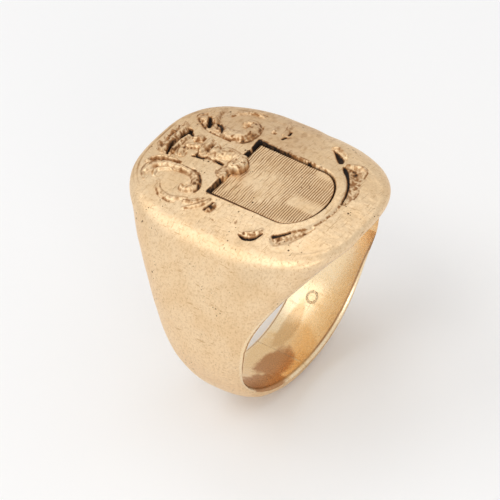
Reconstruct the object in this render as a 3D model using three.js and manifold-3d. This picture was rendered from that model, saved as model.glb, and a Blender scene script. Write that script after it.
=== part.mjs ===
// A man's signet ring in yellow gold, built up on the bench: a thick signet head that carries the face, an engraved
// shield plate let into it, two shoulders that taper round the finger, and a sizing piece that closes the band,
// all brazed together with thin films of gold solder.
// Units are millimetres. The origin is the centre of the finger hole, +Y runs along the finger, towards the top of
// the shield, and +Z points up through the middle of the face.
import * as THREE from "three";
import { mergeVertices } from "three/addons/utils/BufferGeometryUtils.js";
import Module from "manifold-3d";

// ---- driving dimensions ----
const BORE_RADIUS = 9.3; // finger hole
const SIDE_WALL = 1.15; // band thickness at the sides, level with the hole's centre
const BOTTOM_WALL = 1.35; // band thickness under the finger
const FACE_TOP = 11; // crown of the face above the hole's centre
const FACE_DOME = 0.7; // how far the face falls from its crown to its rim
const RIM_ROUND = 1.1; // rounding between the face and the walls
const FACE_HALF_X = 7.65; // face, across the finger
const FACE_HALF_Y = 11.25; // face, along the finger
const FACE_POWER = 2.9; // superellipse power of the face's outline
const BAND_POWER = 3; // the same for the crown of the band
const BAND_CROWN = 0.17; // share of the crown that the band's edges lose
const CROWN_FADE = 2.1; // how quickly the full outline turns into the band's crown below the face
const SHOULDER_BEND = 2.8; // how late the shoulders turn in towards the face
// band's half width along the finger at five heights, from the bottom to the face
const WIDTH_BOTTOM = 2.7;
const WIDTH_LOW = 3.2;
const WIDTH_MIDDLE = 4.9;
const WIDTH_HIGH = 7.4;

const HEAD_SEAM_Z = 6.4; // height of the seams between head and shoulders
const SIZING_ANGLE = 27; // degrees from straight down to each end of the sizing piece
const SEAM_GAP = 0.16; // between two brazed pieces
const FILM = 0.1; // solder film, centred in the gap

const SHIELD_HALF_X = 3.5;
const SHIELD_TOP_Y = 2.4;
const SHIELD_SIDE = 6.6; // straight part of the shield's sides
const SHIELD_FOOT = 2.6; // depth of its rounded foot
const RECESS_DEPTH = 0.78; // below the crown of the face
const PLATE_SEAT = 0.03; // between the plate and the floor of its recess
const PLATE_THICK = 0.35;
const PLATE_GROOVE = 0.12; // open groove round the plate

const LOOP_POINTS = 96; // points round the outer surface at one height
const WALL_LEVELS = 14;
const ROUND_LEVELS = 5;
const FACE_LEVELS = 7;
const BAND_LEVELS = 30;
const BORE_SEGMENTS = 96;
const FOOT_SEGMENTS = 24;
const MERGE_DISTANCE = 1e-4; // points closer than this are one point

// ---- derived dimensions ----
const OUTER_BOTTOM = BORE_RADIUS + BOTTOM_WALL;
const OUTER_SIDE = BORE_RADIUS + SIDE_WALL;
const RIM_Z = FACE_TOP - FACE_DOME;
const WALL_TOP = RIM_Z - RIM_ROUND;
const TALL = 4 * FACE_TOP; // longer than anything that it cuts

const wasm = await Module();
wasm.setup();

// ---- outer shape ----

// Smooth monotone curve through the band's five half widths.
const widthKnots = [
  [-OUTER_BOTTOM, WIDTH_BOTTOM],
  [-OUTER_BOTTOM / 2, WIDTH_LOW],
  [0, WIDTH_MIDDLE],
  [OUTER_BOTTOM / 2, WIDTH_HIGH],
  [RIM_Z, FACE_HALF_Y],
];

function knotSlope(i) {
  if (i === 0) return chordSlope(0);
  if (i === widthKnots.length - 1) return chordSlope(i - 1);
  const before = chordSlope(i - 1);
  const after = chordSlope(i);
  return (2 * before * after) / (before + after);
}

function chordSlope(i) {
  const [z0, w0] = widthKnots[i];
  const [z1, w1] = widthKnots[i + 1];
  return (w1 - w0) / (z1 - z0);
}

function halfWidthY(z) {
  const inside = THREE.MathUtils.clamp(z, widthKnots[0][0], RIM_Z);
  let i = 0;
  while (i < widthKnots.length - 2 && inside > widthKnots[i + 1][0]) i++;
  const [z0, w0] = widthKnots[i];
  const [z1, w1] = widthKnots[i + 1];
  const span = z1 - z0;
  const t = (inside - z0) / span;
  const t2 = t * t;
  const t3 = t2 * t;
  return (
    (2 * t3 - 3 * t2 + 1) * w0 +
    (t3 - 2 * t2 + t) * span * knotSlope(i) +
    (3 * t2 - 2 * t3) * w1 +
    (t3 - t2) * span * knotSlope(i + 1)
  );
}

// Half width across the finger above the hole's centre, where the shoulders turn in towards the face.
function halfWidthX(z) {
  const t = THREE.MathUtils.clamp(z / RIM_Z, 0, 1);
  return FACE_HALF_X + (OUTER_SIDE - FACE_HALF_X) * (1 - t ** SHOULDER_BEND);
}

function heightShare(z) {
  return THREE.MathUtils.clamp((z + OUTER_BOTTOM) / (WALL_TOP + OUTER_BOTTOM), 0, 1);
}

function sectionPower(z) {
  return BAND_POWER + (FACE_POWER - BAND_POWER) * heightShare(z);
}

function crownShare(z) {
  return BAND_CROWN + (1 - BAND_CROWN) * heightShare(z) ** CROWN_FADE;
}

// One loop of the outer surface: a superellipse of half widths a and b with its ends cut flat at y = +-limit.
function loopAt(z, a, b, place) {
  const power = sectionPower(z);
  const reach = b / crownShare(z) ** (1 / power);
  const loop = [];
  for (let i = 0; i < LOOP_POINTS; i++) {
    const angle = (2 * Math.PI * i) / LOOP_POINTS;
    const c = Math.cos(angle);
    const s = Math.sin(angle);
    const x = a * Math.sign(c) * Math.abs(c) ** (2 / power);
    const y = reach * Math.sign(s) * Math.abs(s) ** (2 / power);
    loop.push(place(x, THREE.MathUtils.clamp(y, -b, b), z));
  }
  return loop;
}

function upperLoop(z, inset) {
  return loopAt(z, halfWidthX(z) - inset, halfWidthY(z) - inset, (x, y) => new THREE.Vector3(x, y, z));
}

// Below the hole's centre the crown runs round the finger, so that the section turns about the Y axis.
function bandLoop(turn) {
  const middle = new THREE.Vector2(OUTER_SIDE * Math.cos(turn), -OUTER_BOTTOM * Math.sin(turn));
  return loopAt(middle.y, OUTER_SIDE, halfWidthY(middle.y), (x, y) => {
    const share = x / OUTER_SIDE;
    return new THREE.Vector3(share * middle.x, y, Math.abs(share) * middle.y);
  });
}

function faceLoop(share) {
  const a = (FACE_HALF_X - RIM_ROUND) * share;
  const b = (FACE_HALF_Y - RIM_ROUND) * share;
  const z = RIM_Z + FACE_DOME * (1 - share * share);
  return loopAt(RIM_Z, a, b, (x, y) => new THREE.Vector3(x, y, z));
}

function outerSurface() {
  const loops = [];
  for (let k = BAND_LEVELS; k >= 1; k--) {
    loops.push(bandLoop((Math.PI / 2) * (k / BAND_LEVELS)));
  }
  for (let k = 0; k <= WALL_LEVELS; k++) {
    loops.push(upperLoop((WALL_TOP * k) / WALL_LEVELS, 0));
  }
  for (let k = 1; k <= ROUND_LEVELS; k++) {
    const turn = (Math.PI / 2) * (k / ROUND_LEVELS);
    loops.push(upperLoop(WALL_TOP + RIM_ROUND * Math.sin(turn), RIM_ROUND * (1 - Math.cos(turn))));
  }
  for (let k = 1; k <= FACE_LEVELS; k++) {
    loops.push(faceLoop(1 - k / FACE_LEVELS));
  }
  return loops;
}

// Skins a stack of loops that runs from the bottom up, whose last loop has closed to a point.
function skin(loops) {
  const positions = [];
  const apart = (p, q) => p.distanceTo(q) > MERGE_DISTANCE;
  const triangle = (p, q, r) => {
    if (apart(p, q) && apart(q, r) && apart(r, p)) {
      positions.push(...p.toArray(), ...q.toArray(), ...r.toArray());
    }
  };
  for (let k = 0; k + 1 < loops.length; k++) {
    for (let i = 0; i < LOOP_POINTS; i++) {
      const j = (i + 1) % LOOP_POINTS;
      triangle(loops[k][i], loops[k][j], loops[k + 1][j]);
      triangle(loops[k][i], loops[k + 1][j], loops[k + 1][i]);
    }
  }
  const geometry = new THREE.BufferGeometry();
  geometry.setAttribute("position", new THREE.Float32BufferAttribute(positions, 3));
  return geometry;
}

// ---- solids ----

function solid(geometry) {
  const bare = geometry.clone();
  bare.deleteAttribute("normal");
  bare.deleteAttribute("uv");
  const merged = mergeVertices(bare, MERGE_DISTANCE);
  return new wasm.Manifold(
    new wasm.Mesh({
      numProp: 3,
      vertProperties: new Float32Array(merged.attributes.position.array),
      triVerts: new Uint32Array(merged.index.array),
    }),
  );
}

function block(sizeX, sizeY, sizeZ, x, y, z, turnY = 0) {
  const geometry = new THREE.BoxGeometry(sizeX, sizeY, sizeZ);
  geometry.translate(x, y, z);
  geometry.rotateY(turnY);
  return solid(geometry);
}

function bore() {
  const geometry = new THREE.CylinderGeometry(BORE_RADIUS, BORE_RADIUS, TALL, BORE_SEGMENTS);
  return solid(geometry);
}

// The shield's outline: square top corners, straight sides and an elliptical foot, shrunk by inset all round.
function shieldShape(inset) {
  const half = SHIELD_HALF_X - inset;
  const top = SHIELD_TOP_Y - inset;
  const turn = SHIELD_TOP_Y - SHIELD_SIDE;
  const shape = new THREE.Shape();
  shape.moveTo(half, top);
  shape.lineTo(-half, top);
  shape.lineTo(-half, turn);
  shape.absellipse(0, turn, half, SHIELD_FOOT - inset, Math.PI, 2 * Math.PI, false);
  shape.closePath();
  return shape;
}

function shieldSlab(inset, depth, z) {
  const extrusion = { depth, bevelEnabled: false, curveSegments: FOOT_SEGMENTS };
  const geometry = new THREE.ExtrudeGeometry(shieldShape(inset), extrusion);
  geometry.translate(0, 0, z);
  return solid(geometry);
}

// A slab between two distances from the hole's centre line, turned by an angle about the Y axis from straight down.
function radialSlab(angle, from, to) {
  const turn = THREE.MathUtils.degToRad(angle);
  return block(to - from, TALL, TALL, (from + to) / 2, 0, -TALL / 2, turn);
}

const ring = solid(skin(outerSurface())).subtract(bore());
const recessZ = FACE_TOP - RECESS_DEPTH;

function signetHead() {
  const above = block(TALL, TALL, TALL, 0, 0, HEAD_SEAM_Z + SEAM_GAP / 2 + TALL / 2);
  return ring.intersect(above).subtract(shieldSlab(0, RECESS_DEPTH * 2, recessZ));
}

function shieldPlate() {
  return shieldSlab(PLATE_GROOVE, PLATE_THICK, recessZ + PLATE_SEAT);
}

// side is -1 for the left shoulder, 1 for the right.
function shoulder(side) {
  const half = block(TALL, TALL, TALL, (side * TALL) / 2, 0, HEAD_SEAM_Z - SEAM_GAP / 2 - TALL / 2);
  const rightOfLeftSeam = radialSlab(SIZING_ANGLE, -SEAM_GAP / 2, TALL);
  const leftOfRightSeam = radialSlab(-SIZING_ANGLE, -TALL, SEAM_GAP / 2);
  return ring.intersect(half).subtract(side < 0 ? rightOfLeftSeam : leftOfRightSeam);
}

function sizingPiece() {
  const rightOfLeftSeam = radialSlab(SIZING_ANGLE, SEAM_GAP / 2, TALL);
  const leftOfRightSeam = radialSlab(-SIZING_ANGLE, -TALL, -SEAM_GAP / 2);
  return ring.intersect(rightOfLeftSeam).intersect(leftOfRightSeam);
}

function headSolder(side) {
  return ring.intersect(block(TALL / 2, TALL, FILM, (side * TALL) / 4, 0, HEAD_SEAM_Z));
}

function sizingSolder(side) {
  return ring.intersect(radialSlab(-side * SIZING_ANGLE, -FILM / 2, FILM / 2));
}

// ---- materials and meshes ----

const gold = new THREE.MeshStandardMaterial({ color: 0xd9b27c, roughness: 0.38, metalness: 1 });
const solder = new THREE.MeshStandardMaterial({ color: 0xe0bf8a, roughness: 0.35, metalness: 1 });

function mesh(name, made, material) {
  const data = made.getMesh();
  const geometry = new THREE.BufferGeometry();
  geometry.setAttribute("position", new THREE.BufferAttribute(data.vertProperties, 3));
  geometry.setIndex(new THREE.BufferAttribute(data.triVerts, 1));
  geometry.computeVertexNormals();
  const piece = new THREE.Mesh(geometry, material.clone());
  piece.name = name;
  return piece;
}

const signetRing = new THREE.Group();
signetRing.add(mesh("signet_head", signetHead(), gold));
signetRing.add(mesh("shield_plate", shieldPlate(), gold));
signetRing.add(mesh("left_shoulder", shoulder(-1), gold));
signetRing.add(mesh("right_shoulder", shoulder(1), gold));
signetRing.add(mesh("sizing_piece", sizingPiece(), gold));
signetRing.add(mesh("left_head_solder", headSolder(-1), solder));
signetRing.add(mesh("right_head_solder", headSolder(1), solder));
signetRing.add(mesh("left_sizing_solder", sizingSolder(-1), solder));
signetRing.add(mesh("right_sizing_solder", sizingSolder(1), solder));

export default signetRing;
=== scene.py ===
"""A man's yellow gold signet ring, worn satin outside and polished inside the finger hole.

Shapes are worked out in millimetres, in the row's frame, and become metres when a mesh is made. The outer
surface repeats the CAD's formula at a finer step. The face carries a relief of ridges and engraver's cuts,
each a swept stroke, drawn once on a fine raster that gives the height, where dark patina gathers and where
shade is painted.
"""
import math

import bpy
import numpy as np
from mathutils import Matrix, Vector


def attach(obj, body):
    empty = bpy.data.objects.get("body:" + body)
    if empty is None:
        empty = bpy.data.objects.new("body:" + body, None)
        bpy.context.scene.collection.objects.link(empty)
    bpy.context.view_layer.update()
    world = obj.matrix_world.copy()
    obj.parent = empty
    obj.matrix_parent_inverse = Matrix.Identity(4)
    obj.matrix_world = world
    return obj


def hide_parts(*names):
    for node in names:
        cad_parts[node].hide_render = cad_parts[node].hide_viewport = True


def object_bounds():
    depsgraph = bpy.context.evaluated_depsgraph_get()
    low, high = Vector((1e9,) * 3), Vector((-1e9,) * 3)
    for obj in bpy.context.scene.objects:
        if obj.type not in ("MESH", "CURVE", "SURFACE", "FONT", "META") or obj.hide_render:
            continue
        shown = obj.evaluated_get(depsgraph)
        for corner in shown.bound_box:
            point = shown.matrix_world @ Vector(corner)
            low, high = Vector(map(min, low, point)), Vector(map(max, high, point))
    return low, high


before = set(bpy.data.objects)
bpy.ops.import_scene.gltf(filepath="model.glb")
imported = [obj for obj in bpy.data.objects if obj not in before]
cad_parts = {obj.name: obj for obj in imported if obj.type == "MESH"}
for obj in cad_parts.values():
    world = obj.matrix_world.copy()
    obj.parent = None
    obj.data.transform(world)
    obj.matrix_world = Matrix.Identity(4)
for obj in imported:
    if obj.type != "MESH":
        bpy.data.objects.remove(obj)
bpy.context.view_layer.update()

MM = 0.001

# ---- the ring's driving dimensions, mm ----
BORE_RADIUS = 9.3
SIDE_WALL = 1.15
BOTTOM_WALL = 1.35
FACE_TOP = 11.0
FACE_DOME = 0.7
RIM_ROUND = 1.1
FACE_HALF_X = 7.65
FACE_HALF_Y = 11.25
FACE_POWER = 2.9
BAND_POWER = 3.0
BAND_CROWN = 0.17
CROWN_FADE = 2.1
SHOULDER_BEND = 2.8
BAND_WIDTHS = (2.7, 3.2, 4.9, 7.4, FACE_HALF_Y)  # half widths, from the bottom to the face
EDGE_SHARPNESS = 14.0  # how tightly the crown turns into the flat sides
CORNER_FADE = 0.2  # how soon below the face the sides become flat
BEVEL_ACROSS = 0.38  # bevel of the finger hole's edges, along the finger
BEVEL_OUT = 0.30  # and outwards
BEVEL_ROUND = 1.3  # 1 is a flat bevel and 2 is a quarter round
BEVEL_PAINTED_REFLECTION = (9.36, 0.045, 0.42)  # a painted dark reflection along the finger hole's bevel: radius, half width, strength
HALLMARK = (144.5, 0.44, 0.48, 0.12)  # angle from the top, place along the finger, ring and cut radii
# how much the punch mark's hollow is darkened
PUNCH_DARKENING = 0.3
DENT_WAVES = 40
DENT_SEED = 21
DENT_LENGTHS = (1.3, 5.0)
DENT_SLOPE = 0.013 / 12  # height of a dent for each mm of its length

HEAD_SEAM = 6.4
SIZING_ANGLE = 27.0
FILM = 0.1

SHIELD_HALF_X = 3.5
SHIELD_TOP = 2.4
SHIELD_SIDE = 6.6
SHIELD_FOOT = 2.6
RECESS_FLOOR = 10.22
PLATE_BOTTOM = 10.25
PLATE_TOP = 10.6
PLATE_GROOVE = 0.12
PLATE_EDGE = 0.09  # width of the plate's worn edge
PLATE_EDGE_DROP = 0.05
HATCH_PITCH = 0.22
HATCH_DEPTH = 0.045
WORN_CENTRE = (-0.4, 0.4)  # where the hatching is worn away
WORN_REACH = (1.9, 3.1)

OUTER_BOTTOM = BORE_RADIUS + BOTTOM_WALL
OUTER_SIDE = BORE_RADIUS + SIDE_WALL
RIM_Z = FACE_TOP - FACE_DOME
WALL_TOP = RIM_Z - RIM_ROUND
FLAT_HALF_X = FACE_HALF_X - RIM_ROUND
FLAT_HALF_Y = FACE_HALF_Y - RIM_ROUND
ORNAMENT_FROM_Z = 9.6  # the ornament's patina and painted shade reach no lower than this
HEAD_OVERLAP = 0.6  # how far the head's skin and the band's run past the seam before they are cut
BAND_OVERLAP = 1.0
FAR = 40.0  # longer than anything that it cuts
FLOOR = 900.0  # half width of the paper floor

# ---- how finely each surface is divided ----
FACE_CELLS = (190, 270)
RIM_RINGS = 26
WALL_RINGS = 26
BAND_COLUMNS = 560
BAND_RINGS = 120
SHOULDER_RINGS = 60
BORE_COLUMNS = 360
BEVEL_STEPS = 7
PUNCH_STEPS = (48, 14)
PLATE_CELLS = (90, 420)
SHARP_ANGLE = 62
PLATE_SHARP_ANGLE = 60

# ---- the outer surface ----
KNOT_Z = np.array([-OUTER_BOTTOM, -OUTER_BOTTOM / 2, 0.0, OUTER_BOTTOM / 2, RIM_Z])
KNOT_WIDTH = np.array(BAND_WIDTHS)
CHORDS = np.diff(KNOT_WIDTH) / np.diff(KNOT_Z)
INNER_SLOPES = 2 * CHORDS[:-1] * CHORDS[1:] / (CHORDS[:-1] + CHORDS[1:])
KNOT_SLOPES = np.concatenate([CHORDS[:1], INNER_SLOPES, CHORDS[-1:]])


def half_width_y(z):
    """The band's half width along the finger at height z, a monotone cubic through its knots."""
    z = np.clip(z, KNOT_Z[0], KNOT_Z[-1])
    i = np.clip(np.searchsorted(KNOT_Z, z, side="right") - 1, 0, len(KNOT_Z) - 2)
    span = KNOT_Z[i + 1] - KNOT_Z[i]
    t = (z - KNOT_Z[i]) / span
    start = (2 * t**3 - 3 * t**2 + 1) * KNOT_WIDTH[i] + (t**3 - 2 * t**2 + t) * span * KNOT_SLOPES[i]
    end = (3 * t**2 - 2 * t**3) * KNOT_WIDTH[i + 1] + (t**3 - t**2) * span * KNOT_SLOPES[i + 1]
    return start + end


def half_width_x(z):
    """The ring's half width across the finger at height z."""
    t = np.clip(z / RIM_Z, 0, 1)
    return FACE_HALF_X + (OUTER_SIDE - FACE_HALF_X) * (1 - t**SHOULDER_BEND)


def height_share(z):
    """How far up the ring's wall height z is, from 0 at the bottom to 1 under the face's rim."""
    return np.clip((z + OUTER_BOTTOM) / (WALL_TOP + OUTER_BOTTOM), 0, 1)


def smooth(t):
    t = np.clip(t, 0, 1)
    return t * t * (3 - 2 * t)


def signed_power(t, power):
    return np.sign(t) * np.abs(t) ** power


def soft_limit(t):
    """Follows t while it is small and flattens out at 1, with a tight bend between."""
    return t / (1 + np.abs(t) ** EDGE_SHARPNESS) ** (1 / EDGE_SHARPNESS)


def section(z, half_x, half_y, angle):
    """One point of the section at height z: a superellipse whose ends are cut flat, with softened corners."""
    power = BAND_POWER + (FACE_POWER - BAND_POWER) * height_share(z)
    crown = BAND_CROWN + (1 - BAND_CROWN) * height_share(z) ** CROWN_FADE
    reach = half_y / crown ** (1 / power)
    x = half_x * signed_power(np.cos(angle), 2 / power)
    rounded = signed_power(np.sin(angle), 2 / power)
    flattened = soft_limit(rounded * reach / half_y) / soft_limit(reach / half_y)
    flat_share = smooth((1 - crown) / CORNER_FADE)
    return x, half_y * ((1 - flat_share) * rounded + flat_share * flattened)


def wall_points(z, inset, angle):
    """A ring of the outer wall at height z, drawn in by the inset."""
    x, y = section(z, half_width_x(z) - inset, half_width_y(z) - inset, angle)
    return np.stack([x, y, np.broadcast_to(z, x.shape)], -1)


def dented(points):
    """Pushes points a little in and out from the finger's axis, as a worn hand-finished surface is."""
    wave_maker = np.random.default_rng(DENT_SEED)
    push = np.zeros(len(points))
    for _ in range(DENT_WAVES):
        heading = wave_maker.normal(size=3)
        heading /= np.linalg.norm(heading)
        length = wave_maker.uniform(*DENT_LENGTHS)
        phase = wave_maker.uniform(0, 2 * math.pi)
        push += DENT_SLOPE * length * np.sin(points @ heading * 2 * math.pi / length + phase)
    away = points * (1, 0, 1)
    away /= np.maximum(np.linalg.norm(away, axis=1), 1)[:, None]
    return points + away * push[:, None]


def band_points(turn, angle):
    """Below the hole's centre the crown runs round the finger, as turn goes from 0 to a quarter turn."""
    middle_x = OUTER_SIDE * np.cos(turn)
    middle_z = -OUTER_BOTTOM * np.sin(turn)
    x, y = section(middle_z, OUTER_SIDE, half_width_y(middle_z), angle)
    share = x / OUTER_SIDE
    return np.stack([share * middle_x, y, np.abs(share) * middle_z], -1)


def face_radius(x, y):
    """Distance from the face's centre, in shares of its outline."""
    return (np.abs(x) ** FACE_POWER + np.abs(y) ** FACE_POWER) ** (1 / FACE_POWER)


def face_z(x, y):
    """Height of the face's plain dome."""
    radius = face_radius(x / FLAT_HALF_X, y / FLAT_HALF_Y)
    return RIM_Z + FACE_DOME * (1 - np.clip(radius, 0, 1) ** 2)


# ---- relief: strokes of (height, soot, path), where the path's points are (x, y, half width), mm ----
# A height above zero is a rounded ridge and one below zero a cut. Soot is how much dark patina a cut holds.
LEFT_SCROLL = [
    (0.3, 0, [(-3.95, 8.75, 0.12), (-3.1, 8.45, 0.28), (-2.55, 7.6, 0.36), (-2.38, 6.5, 0.34),
        (-2.36, 5.4, 0.34), (-2.72, 4.35, 0.42), (-3.5, 3.85, 0.4), (-4.15, 4.15, 0.3), (-4.3, 4.7, 0.22),
        (-4.02, 4.9, 0.14)]),
    (0.2, 0, [(-4.05, 7.75, 0.1), (-3.45, 7.95, 0.2), (-3.05, 7.5, 0.2), (-2.85, 6.8, 0.12)]),
    (0.14, 0, [(-4.7, 8.3, 0.1), (-4.1, 8.85, 0.18), (-3.3, 9.0, 0.2), (-2.75, 8.6, 0.15)]),
    (0.22, 0, [(-3.05, 9.45, 0.08), (-2.35, 9.05, 0.14), (-1.93, 8.3, 0.14), (-1.8, 7.3, 0.13),
        (-1.85, 6.6, 0.08)]),
    (0.12, 0, [(-4.3, 7.0, 0.1), (-5.1, 6.5, 0.25), (-5.5, 5.7, 0.3), (-5.5, 4.9, 0.28), (-5.2, 4.2, 0.2),
        (-4.95, 3.6, 0.1)]),
    (-0.18, 0.8, [(-2.65, 9.2, 0.06), (-2.22, 8.4, 0.12), (-2.07, 7.5, 0.14), (-2.02, 6.7, 0.12)]),
    (-0.16, 0.9, [(-2.1, 6.1, 0.06), (-2.15, 5.6, 0.1), (-2.1, 5.1, 0.14), (-2.25, 4.7, 0.14)]),
    (-0.14, 0.9, [(-2.4, 4.3, 0.07), (-2.75, 3.85, 0.1), (-3.2, 3.58, 0.09), (-3.7, 3.38, 0.09),
        (-4.1, 3.5, 0.07)]),
    (-0.1, 0.7, [(-5.2, 6.65, 0.04), (-5.6, 6.2, 0.06), (-5.78, 5.5, 0.06), (-5.85, 4.9, 0.06),
        (-5.7, 4.4, 0.05)]),
    (-0.08, 0.45, [(-2.78, 6.5, 0.06), (-2.7, 5.7, 0.07), (-2.78, 5.0, 0.07)]),
    (-0.08, 0.35, [(-4.45, 4.6, 0.05), (-4.1, 4.55, 0.07), (-3.7, 4.6, 0.06)]),
    (-0.07, 0.4, [(-3.9, 8.1, 0.05), (-3.3, 8.2, 0.07), (-2.9, 7.9, 0.06), (-2.75, 7.2, 0.05)]),
]
LEFT_LEAVES = [
    (0.16, 0, [(-5.35, 3.7, 0.1), (-5.05, 3.05, 0.22), (-4.65, 2.55, 0.2), (-4.35, 2.25, 0.1)]),
    (0.14, 0, [(-5.95, 3.35, 0.08), (-5.4, 2.6, 0.2), (-4.8, 2.05, 0.2), (-4.2, 1.75, 0.1)]),
    (0.15, 0, [(-5.3, 1.35, 0.15), (-4.85, 1.2, 0.25), (-4.4, 1.15, 0.15)]),
    (-0.1, 0.6, [(-5.15, 3.25, 0.05), (-4.8, 2.7, 0.07), (-4.35, 2.3, 0.07)]),
    (-0.16, 0.95, [(-5.25, 1.65, 0.07), (-4.85, 1.45, 0.12), (-4.35, 1.35, 0.1)]),
    (-0.08, 0.6, [(-5.3, 1.1, 0.05), (-4.95, 0.95, 0.07), (-4.5, 0.95, 0.05)]),
    (-0.06, 0.55, [(-5.68, 0.8, 0.03), (-5.85, 0.1, 0.05)]),
    (-0.04, 0.35, [(-4.75, -0.8, 0.04), (-4.62, -1.3, 0.05)]),
    (-0.05, 0.4, [(-5.2, -1.55, 0.08), (-4.95, -1.5, 0.06)]),
]
RIGHT_SCROLL = [
    (0.34, 0, [(3.4, 6.4, 0.3), (3.0, 5.7, 0.55), (2.92, 4.85, 0.68), (3.35, 4.1, 0.68), (4.2, 3.8, 0.6),
        (4.9, 4.05, 0.5), (5.05, 4.6, 0.36), (4.68, 4.88, 0.22)]),
    (0.3, 0, [(3.55, 8.95, 0.15), (3.5, 8.35, 0.35), (3.9, 8.0, 0.4), (4.5, 7.85, 0.35),
        (5.2, 7.65, 0.12)]),
    (0.26, 0, [(3.7, 7.6, 0.2), (4.0, 7.35, 0.28), (4.6, 7.6, 0.22)]),
    (0.2, 0, [(3.9, 8.95, 0.2), (4.3, 8.6, 0.25), (4.9, 8.3, 0.15)]),
    (0.2, 0, [(3.1, 7.1, 0.1), (2.8, 6.6, 0.22), (2.75, 6.1, 0.12)]),
    (0.16, 0, [(5.1, 6.55, 0.12), (5.6, 6.4, 0.2), (6.15, 5.75, 0.22), (6.42, 4.9, 0.18),
        (6.4, 4.2, 0.08)]),
    (-0.12, 0.8, [(3.4, 8.9, 0.05), (3.0, 8.1, 0.07), (2.62, 7.4, 0.08), (2.4, 6.6, 0.06),
        (2.28, 5.6, 0.05), (2.2, 4.5, 0.05)]),
    (-0.28, 1.0, [(2.95, 7.3, 0.14), (3.3, 7.5, 0.2), (3.75, 7.8, 0.12)]),
    (-0.22, 0.95, [(3.65, 6.95, 0.08), (3.35, 6.45, 0.14), (3.05, 6.0, 0.13), (2.65, 5.75, 0.08)]),
    (-0.12, 0.8, [(2.4, 4.0, 0.05), (2.75, 3.35, 0.08), (3.5, 3.06, 0.08), (4.3, 3.05, 0.06),
        (5.1, 3.35, 0.07)]),
    (-0.1, 0.65, [(5.4, 6.72, 0.05), (6.0, 6.25, 0.07), (6.5, 5.5, 0.07), (6.7, 4.7, 0.09),
        (6.68, 3.95, 0.06)]),
    (-0.12, 0.9, [(2.78, 3.62, 0.1)]),
    (-0.1, 0.7, [(3.2, 3.55, 0.07), (3.75, 3.6, 0.08)]),
    (-0.1, 0.8, [(4.25, 8.12, 0.1)]),
    (-0.07, 0.5, [(5.3, 7.5, 0.04), (4.7, 7.5, 0.07), (4.2, 7.15, 0.07), (3.7, 7.0, 0.06)]),
    (-0.08, 0.45, [(4.35, 4.75, 0.06), (4.6, 4.4, 0.1), (4.95, 4.2, 0.08)]),
    (-0.06, 0.35, [(3.75, 9.1, 0.06), (4.0, 8.9, 0.08), (4.3, 8.75, 0.05)]),
]
RIGHT_LEAVES = [
    (0.18, 0, [(5.3, 2.35, 0.2), (5.75, 2.35, 0.15)]),
    (0.2, 0, [(5.3, 1.45, 0.1), (6.1, 1.5, 0.18), (6.7, 1.8, 0.2), (6.95, 1.9, 0.1)]),
    (-0.12, 0.8, [(5.0, 2.35, 0.06), (5.1, 2.1, 0.09)]),
    (-0.22, 1.0, [(4.82, 1.15, 0.09), (5.15, 1.05, 0.12)]),
    (-0.22, 1.0, [(5.6, 1.05, 0.1), (6.0, 1.15, 0.1)]),
    (-0.06, 0.5, [(5.15, 0.85, 0.06), (5.5, 0.65, 0.08)]),
    (-0.03, 0.3, [(6.4, -0.3, 0.12)]),
]
CORONET = [
    (0.32, 0, [(-1.4, 8.95, 0.2), (-0.6, 8.95, 0.32), (0.3, 9.02, 0.32), (1.2, 9.0, 0.32),
        (1.95, 8.98, 0.2)]),
    (0.26, 0, [(-1.35, 8.1, 0.16), (-0.5, 8.18, 0.24), (0.4, 8.14, 0.26), (1.1, 8.02, 0.2)]),
    (0.3, 0, [(-1.3, 9.2, 0.18), (-0.95, 9.4, 0.22), (-0.62, 9.8, 0.2)]),
    (0.3, 0, [(0.1, 9.3, 0.2), (0.15, 9.6, 0.2), (0.3, 9.85, 0.16)]),
    (0.3, 0, [(1.0, 9.2, 0.2), (0.98, 9.7, 0.18)]),
    (0.3, 0, [(1.6, 9.3, 0.2), (1.8, 9.6, 0.16)]),
    (0.26, 0, [(2.1, 9.0, 0.2), (2.4, 9.35, 0.18)]),
    (-0.3, 1.0, [(-1.4, 8.35, 0.08), (-1.1, 8.5, 0.13), (-0.65, 8.62, 0.09)]),
    (-0.2, 0.9, [(-0.45, 8.65, 0.08), (-0.25, 8.66, 0.08)]),
    (-0.15, 0.8, [(0.0, 8.62, 0.05), (0.5, 8.5, 0.06)]),
    (-0.36, 1.0, [(0.65, 8.5, 0.1), (1.05, 8.52, 0.17), (1.4, 8.35, 0.2), (1.8, 8.35, 0.16),
        (1.97, 8.65, 0.08)]),
    (-0.22, 0.9, [(1.55, 8.1, 0.12), (1.4, 7.85, 0.1)]),
    (-0.12, 0.65, [(-1.25, 7.92, 0.07), (-0.5, 8.03, 0.06), (0.3, 8.1, 0.05)]),
    (-0.14, 0.7, [(-1.1, 9.15, 0.05), (-0.85, 9.45, 0.1), (-0.75, 9.55, 0.05)]),
    (-0.16, 0.8, [(-0.1, 9.2, 0.05), (0.2, 9.35, 0.06), (0.5, 9.6, 0.1), (0.75, 9.5, 0.07)]),
    (-0.14, 0.75, [(0.8, 9.25, 0.05), (1.25, 9.28, 0.07), (1.6, 9.45, 0.06), (1.9, 9.6, 0.05)]),
    (-0.08, 0.5, [(2.1, 9.45, 0.07), (2.15, 9.1, 0.06)]),
]
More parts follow.
